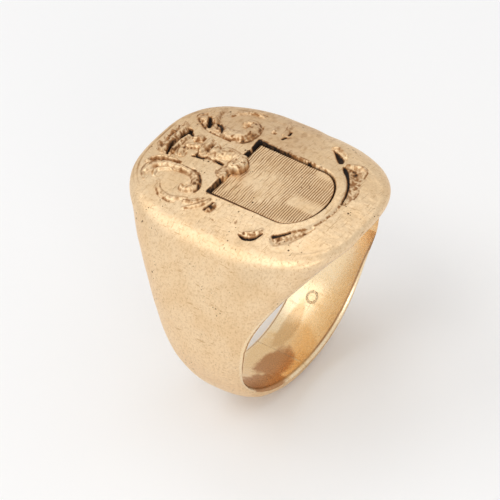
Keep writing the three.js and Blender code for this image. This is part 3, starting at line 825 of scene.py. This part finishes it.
def shield_plate(material):
    """A flat plate with fine lines engraved across it, worn away towards its upper middle."""
    half = SHIELD_HALF_X - PLATE_GROOVE
    top = SHIELD_TOP - PLATE_GROOVE
    turn = SHIELD_TOP - SHIELD_SIDE
    foot = SHIELD_FOOT - PLATE_GROOVE
    columns, rows = PLATE_CELLS
    y = np.linspace(turn - foot + 0.0005, top, rows)
    reach = np.where(y > turn, half, half * np.sqrt(np.clip(1 - ((y - turn) / foot) ** 2, 0, 1)))
    spread = math.pi / 2 * 0.995
    across = np.sin(np.linspace(-1, 1, columns) * spread) / math.sin(spread)
    gx = reach[:, None] * across[None, :]
    gy = y[:, None].repeat(columns, 1)
    edge = 1 - np.clip((shield_depth(gx, gy) - PLATE_GROOVE) / PLATE_EDGE, 0, 1)

    # hatching: how deep each stroke still is, and where its middle runs
    wander = 0.03 * np.sin(gx * 1.7 + 0.4) + 0.02 * np.sin(gx * 4.1 + gy)
    wave = 0.5 + 0.5 * np.cos(2 * math.pi * (gy + wander) / HATCH_PITCH)
    (worn_x, worn_y), (reach_x, reach_y) = WORN_CENTRE, WORN_REACH
    worn = np.exp(-(((gx - worn_x) / reach_x) ** 2 + ((gy - worn_y) / reach_y) ** 4))
    patch = sample(grain(11, 0.7), gx, gy) * 0.05
    stroke = np.floor((gy + wander) / HATCH_PITCH + 0.5)
    strokes = sample(grain(13, 0.35), gx * 0.6, stroke * 0.7) * 0.26
    keep = np.clip(0.98 - 0.95 * worn + patch + strokes, 0.05, 1.1)
    z = PLATE_TOP - HATCH_DEPTH * keep * wave**2 - PLATE_EDGE_DROP * edge**2
    z += 0.004 * sample(grain(12, 0.3), gx, gy)

    top_points = np.stack([gx, gy, z], -1).reshape(-1, 3)
    rim = grid_edge(rows, columns)
    low_points = top_points[rim] * (1, 1, 0) + (0, 0, PLATE_BOTTOM)
    points = np.vstack([top_points, low_points, [[0, -1, PLATE_BOTTOM]]])
    low_rim = range(len(top_points), len(points) - 1)
    faces = grid_faces(rows, columns) + strip(rim, low_rim) + fan(low_rim, len(points) - 1)
    obj = mesh_object("shield_plate_gold", points, faces)
    obj.data.materials.append(material)
    dark = np.clip(0.08 + keep * wave**4 * 0.55, 0, 1)
    dark = np.maximum(dark, 0.9 * edge**1.5)
    patina_and_shade = np.concatenate([dark.reshape(-1), np.ones(len(rim) + 1)])
    hang(obj, "shield_plate", patina_and_shade, PLATE_SHARP_ANGLE)


# ---- materials ----
def link_or_set(tree, socket, value):
    if isinstance(value, bpy.types.NodeSocket):
        tree.links.new(value, socket)
    else:
        socket.default_value = value


def node(tree, kind, **inputs):
    """A shader node whose named inputs are linked to sockets or set to values."""
    made = tree.nodes.new(kind)
    for key, value in inputs.items():
        link_or_set(tree, made.inputs[key.replace("_", " ")], value)
    return made


def mix_color(tree, factor, first, second):
    mix = tree.nodes.new("ShaderNodeMix")
    mix.data_type = "RGBA"
    link_or_set(tree, mix.inputs["Factor"], factor)
    link_or_set(tree, mix.inputs[6], first)
    link_or_set(tree, mix.inputs[7], second)
    return mix.outputs[2]


def math_node(tree, operation, first, second, clamp=False):
    made = tree.nodes.new("ShaderNodeMath")
    made.operation = operation
    made.use_clamp = clamp
    link_or_set(tree, made.inputs[0], first)
    link_or_set(tree, made.inputs[1], second)
    return made.outputs[0]


def vector_math(tree, operation, first, second=(0, 0, 0)):
    made = tree.nodes.new("ShaderNodeVectorMath")
    made.operation = operation
    tree.links.new(first, made.inputs[0])
    made.inputs[1].default_value = second
    return made.outputs


def ramp(tree, value, low, high, out_low=0.0, out_high=1.0):
    ends = {"From_Min": low, "From_Max": high, "To_Min": out_low, "To_Max": out_high}
    made = node(tree, "ShaderNodeMapRange", Value=value, **ends)
    made.interpolation_type = "SMOOTHSTEP"
    return made.outputs["Result"]


def noise(tree, vector, per_mm, detail, rough):
    sizes = {"Scale": per_mm / MM, "Detail": detail, "Roughness": rough}
    return node(tree, "ShaderNodeTexNoise", Vector=vector, **sizes).outputs["Fac"]


def stretched(tree, vector, scale, turn):
    return node(tree, "ShaderNodeMapping", Vector=vector, Scale=scale, Rotation=turn).outputs["Vector"]


def specks(tree, vector, per_mm, size):
    """Small scattered spots, 1 inside a spot and 0 outside."""
    made = node(tree, "ShaderNodeTexVoronoi", Vector=vector, Scale=per_mm / MM, Randomness=1.0)
    return ramp(tree, made.outputs["Distance"], size * 0.5, size, 1.0, 0.0)


# colours of the patina, and of the painted shade and painted dark reflections that share its value
PATINA_AND_SHADE_BROWN = (0.37, 0.175, 0.066, 1)
PATINA_AND_SHADE_BLACK = (0.012, 0.007, 0.0045, 1)
PIT_BROWN = (0.15, 0.078, 0.034, 1)
PAPER = (0.905, 0.905, 0.91, 1)
BUMP_HEIGHT = 0.03
# painted reflections of the ring's own inside on the polished finger hole
PAINTED_BORE_REFLECTIONS = [  # centre, half size along the finger and round the band (mm), strength, colour
    ((-1.0, -0.2, -9.2), (2.6, 4.6), 0.6, (0.84, 0.52, 0.22, 1)),
    ((2.6, 0.9, -8.9), (0.8, 2.6), 0.6, (0.62, 0.37, 0.16, 1)),
    ((-1.5, -0.6, -9.2), (1.45, 2.2), 0.95, (0.50, 0.24, 0.10, 1)),
    ((-5.0, -2.0, -7.9), (1.6, 2.9), 0.9, (0.45, 0.20, 0.07, 1)),
]


def paint_bore_reflections(tree, place, color):
    """Painted reflections in the bottom of the finger hole: orange and brown patches with ragged edges."""
    wobble = noise(tree, place, per_mm=0.9, detail=4.0, rough=0.6)
    shake = math_node(tree, "MULTIPLY", math_node(tree, "SUBTRACT", wobble, 0.5), 0.8)
    for centre, (across, around), strength, tint in PAINTED_BORE_REFLECTIONS:
        shift = vector_math(tree, "SUBTRACT", place, [c * MM for c in centre])[0]
        sizes = (1 / (around * MM), 1 / (across * MM), 1 / (around * MM))
        length = vector_math(tree, "LENGTH", vector_math(tree, "MULTIPLY", shift, sizes)[0])
        edge = math_node(tree, "ADD", length["Value"], shake)
        color = mix_color(tree, ramp(tree, edge, 1.12, 0.8, 0.0, strength), color, tint)
    return color


def gold_material(name, light, deep, rough, mottle, scratch, pits, painted_reflections=False):
    """Worn gold: broad tone changes, scratches, pits, and dark patina, painted shade and painted dark
    reflections where the stored value is high, with painted reflections in the finger hole if asked.
    """
    material = bpy.data.materials.new(name)
    material.use_nodes = True
    tree = material.node_tree
    tree.nodes.clear()
    place = tree.nodes.new("ShaderNodeTexCoord").outputs["Object"]

    clouds = noise(tree, place, per_mm=0.35, detail=5.0, rough=0.6)
    fine = noise(tree, place, per_mm=4.5, detail=6.0, rough=0.75)
    color = mix_color(tree, ramp(tree, clouds, 0.35, 0.65), deep, light)
    shade = (deep[0] * 0.74, deep[1] * 0.66, deep[2] * 0.56, 1)
    color = mix_color(tree, ramp(tree, fine, 0.56, 0.34, 0.0, mottle), color, shade)

    one_way = stretched(tree, place, scale=(1, 14, 5), turn=(0.3, 0.2, 0.5))
    other_way = stretched(tree, place, scale=(12, 1, 6), turn=(-0.4, 0.3, -0.7))
    lines_a = ramp(tree, noise(tree, one_way, per_mm=0.7, detail=3.0, rough=0.6), 0.61, 0.68)
    lines_b = ramp(tree, noise(tree, other_way, per_mm=0.8, detail=3.0, rough=0.6), 0.62, 0.69)
    lines = math_node(tree, "ADD", lines_a, lines_b, clamp=True)
    color = mix_color(tree, math_node(tree, "MULTIPLY", lines, scratch), color, shade)

    third_way = stretched(tree, place, scale=(0.45, 14, 6), turn=(0.9, 0.4, 1.1))
    hairs = ramp(tree, noise(tree, third_way, per_mm=1.0, detail=2.0, rough=0.5), 0.705, 0.73)
    hairs = math_node(tree, "MULTIPLY", hairs, 0.7 * scratch)
    patches = ramp(tree, noise(tree, place, per_mm=0.3, detail=2.0, rough=0.5), 0.5, 0.62)
    small = specks(tree, place, per_mm=2.4, size=0.17)
    large = specks(tree, place, per_mm=1.1, size=0.13)
    spots = math_node(tree, "MULTIPLY", math_node(tree, "MAXIMUM", small, large), patches)
    spots = math_node(tree, "MULTIPLY", math_node(tree, "MAXIMUM", spots, hairs), pits, clamp=True)

    # the stored value holds patina, painted shade and painted dark reflections, drawn brown and, where
    # strong, near black
    soot = tree.nodes.new("ShaderNodeAttribute")
    soot.attribute_name = "patina_and_shade"
    uneven = math_node(tree, "MULTIPLY", math_node(tree, "SUBTRACT", fine, 0.5), 0.5)
    ragged = math_node(tree, "ADD", soot.outputs["Fac"], uneven)
    ragged = math_node(tree, "MULTIPLY", ragged, ramp(tree, soot.outputs["Fac"], 0.02, 0.2), clamp=True)
    color = mix_color(tree, ramp(tree, ragged, 0.0, 0.55), color, PATINA_AND_SHADE_BROWN)
    color = mix_color(tree, ramp(tree, ragged, 0.45, 0.95), color, PATINA_AND_SHADE_BLACK)
    color = mix_color(tree, spots, color, PIT_BROWN)
    # painted reflections in the finger hole
    if painted_reflections:
        color = paint_bore_reflections(tree, place, color)

    dull = math_node(tree, "MAXIMUM", ragged, math_node(tree, "MULTIPLY", spots, 0.6))
    metal = ramp(tree, dull, 0.3, 0.9, 1.0, 0.15)
    worn = math_node(tree, "ADD", math_node(tree, "MULTIPLY", fine, 0.16), rough - 0.08)
    worn = math_node(tree, "ADD", worn, math_node(tree, "MULTIPLY", lines, 0.08))
    worn = math_node(tree, "ADD", worn, math_node(tree, "MULTIPLY", dull, 0.25), clamp=True)

    height = math_node(tree, "MULTIPLY", fine, 0.4)
    height = math_node(tree, "SUBTRACT", height, math_node(tree, "MULTIPLY", lines, scratch))
    height = math_node(tree, "SUBTRACT", height, math_node(tree, "MULTIPLY", spots, 1.5))
    bump = node(tree, "ShaderNodeBump", Strength=0.35, Distance=BUMP_HEIGHT * MM, Height=height)
    shader = node(tree, "ShaderNodeBsdfPrincipled", Base_Color=color, Metallic=metal, Roughness=worn,
                  Specular_IOR_Level=0.2, Normal=bump.outputs["Normal"])
    node(tree, "ShaderNodeOutputMaterial", Surface=shader.outputs["BSDF"])
    return material


def floor_material():
    material = bpy.data.materials.new("floor_paper")
    material.use_nodes = True
    shader = material.node_tree.nodes["Principled BSDF"]
    shader.inputs["Base Color"].default_value = PAPER
    shader.inputs["Roughness"].default_value = 0.9
    return material


# ---- build ----
SATIN = gold_material("gold_satin", (0.92, 0.70, 0.45, 1), (0.87, 0.63, 0.375, 1),
                      rough=0.42, mottle=0.54, scratch=0.8, pits=1.0)
POLISHED = gold_material("gold_polished", (0.95, 0.77, 0.53, 1), (0.94, 0.73, 0.46, 1),
                         rough=0.27, mottle=0.2, scratch=0.3, pits=0.0, painted_reflections=True)
SOLDER = gold_material("gold_solder", (0.92, 0.70, 0.45, 1), (0.86, 0.63, 0.38, 1),
                       rough=0.44, mottle=0.5, scratch=0.4, pits=0.4)
FILM_TOP = HEAD_SEAM + FILM / 2
FILM_BOTTOM = HEAD_SEAM - FILM / 2

head = cut(signet_head(), box_cutter((-FAR, -FAR, FILM_TOP), (FAR, FAR, FAR)), "INTERSECT")
head = cut(head, bore_cutter(), "DIFFERENCE")
finish_piece(head, "signet_head", SATIN, POLISHED)
shield_plate(SATIN)
shank = cut(shank_body("shank"), bore_cutter(), "DIFFERENCE")


def part_of_shank(name, *cutters):
    """A copy of the band, cut by each (cutter, operation) in turn."""
    made = scene_object(name, shank.data.copy())
    for cutter, operation in cutters:
        cut(made, cutter, operation)
    return made


for side, word in ((-1, "left"), (1, "right")):
    near, far = (-FAR, 0.0) if side < 0 else (0.0, FAR)
    inner, outer = (-FILM / 2, FAR) if side < 0 else (-FAR, FILM / 2)
    cuts = [(box_cutter((near, -FAR, -FAR), (far, FAR, FILM_BOTTOM)), "INTERSECT"),
            (box_cutter((inner, -FAR, -FAR), (outer, FAR, 0.0), -side * SIZING_ANGLE), "DIFFERENCE")]
    if side > 0:
        cuts.append((punch_cutter(*HALLMARK), "DIFFERENCE"))
    shoulder = part_of_shank(word + "_shoulder_gold", *cuts)
    finish_piece(shoulder, word + "_shoulder", SATIN, POLISHED)

    slab = box_cutter((near, -FAR, FILM_BOTTOM), (far, FAR, FILM_TOP))
    film = part_of_shank(word + "_head_solder_film", (slab, "INTERSECT"))
    finish_piece(film, word + "_head_solder", SOLDER, POLISHED)

    slab = box_cutter((-FILM / 2, -FAR, -FAR), (FILM / 2, FAR, 0.0), -side * SIZING_ANGLE)
    film = part_of_shank(word + "_sizing_solder_film", (slab, "INTERSECT"))
    finish_piece(film, word + "_sizing_solder", SOLDER, POLISHED)

right_of = box_cutter((FILM / 2, -FAR, -FAR), (FAR, FAR, 0.0), SIZING_ANGLE)
left_of = box_cutter((-FAR, -FAR, -FAR), (-FILM / 2, FAR, 0.0), -SIZING_ANGLE)
piece = part_of_shank("sizing_piece_gold", (right_of, "INTERSECT"), (left_of, "INTERSECT"))
finish_piece(piece, "sizing_piece", SATIN, POLISHED)
bpy.data.objects.remove(shank)

# ---- floor, light and camera ----
SKY_STRENGTH = 0.785
LIGHTS = [  # name, azimuth and elevation (degrees), distance and size (mm), power (W), colour
    ("side", -118, 14, 340, 220, 0.03, (1.0, 0.98, 0.96)),
    ("back_left", -144, 50, 330, 240, 0.14, (1.0, 0.99, 0.97)),
    ("front", -38, 24, 380, 160, 0.16, (1.0, 0.99, 0.97)),
    ("upper_left", -80, 60, 300, 110, 0.11, (1.0, 0.98, 0.95)),
    ("top", 128, 66, 320, 120, 0.05, (1.0, 0.99, 0.97)),
]
VIEW_AZIMUTH = -48.03
VIEW_ELEVATION = 43.12
VIEW_ROLL = -7.25
VIEW_DISTANCE = 428.0
SENSOR_WIDTH = 36.0
FRAME_WIDTH = 41.48  # mm seen across the frame at the ring
FRAME_SHIFT = (-1.663, 1.827)  # mm, how far the ring's centre stands off the frame's, right and up

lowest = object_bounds()[0][2] / MM
corners = [(x, y, lowest) for x, y in ((-FLOOR, -FLOOR), (FLOOR, -FLOOR), (FLOOR, FLOOR), (-FLOOR, FLOOR))]
floor = mesh_object("floor", corners, [(0, 1, 2, 3)])
floor.data.materials.append(floor_material())

world = bpy.data.worlds.new("studio")
bpy.context.scene.world = world
world.use_nodes = True
sky = world.node_tree.nodes["Background"]
sky.inputs["Color"].default_value = (1, 1, 1, 1)
sky.inputs["Strength"].default_value = SKY_STRENGTH


def direction(azimuth, elevation):
    """Unit vector from the ring's centre, by angles in degrees: azimuth 0 is -Y and 90 is +X."""
    a = math.radians(azimuth)
    e = math.radians(elevation)
    return Vector((math.sin(a) * math.cos(e), -math.cos(a) * math.cos(e), math.sin(e)))


out = direction(VIEW_AZIMUTH, VIEW_ELEVATION)
level = direction(VIEW_AZIMUTH + 90, 0)
roll = math.radians(VIEW_ROLL)
upright = out.cross(level)
right = level * math.cos(roll) + upright * math.sin(roll)
up = -level * math.sin(roll) + upright * math.cos(roll)
camera_data = bpy.data.cameras.new("camera")
camera_data.sensor_width = SENSOR_WIDTH
camera_data.lens = SENSOR_WIDTH * VIEW_DISTANCE / FRAME_WIDTH
camera_data.clip_start = 0.01
camera_data.clip_end = 20
camera = scene_object("camera", camera_data)
spot = out * VIEW_DISTANCE + right * FRAME_SHIFT[0] + up * FRAME_SHIFT[1]
camera.matrix_world = Matrix.Translation(spot * MM) @ Matrix((right, up, out)).transposed().to_4x4()
bpy.context.scene.camera = camera

for name, azimuth, elevation, distance, width, power, color in LIGHTS:
    back = direction(azimuth, elevation)
    data = bpy.data.lights.new(name, "AREA")
    data.shape = "DISK"
    data.size = width * MM
    data.energy = power
    data.color = color
    light = scene_object(name, data)
    light.location = back * distance * MM
    light.rotation_euler = back.to_track_quat("Z", "Y").to_euler()

bpy.context.scene.view_settings.view_transform = "Standard"
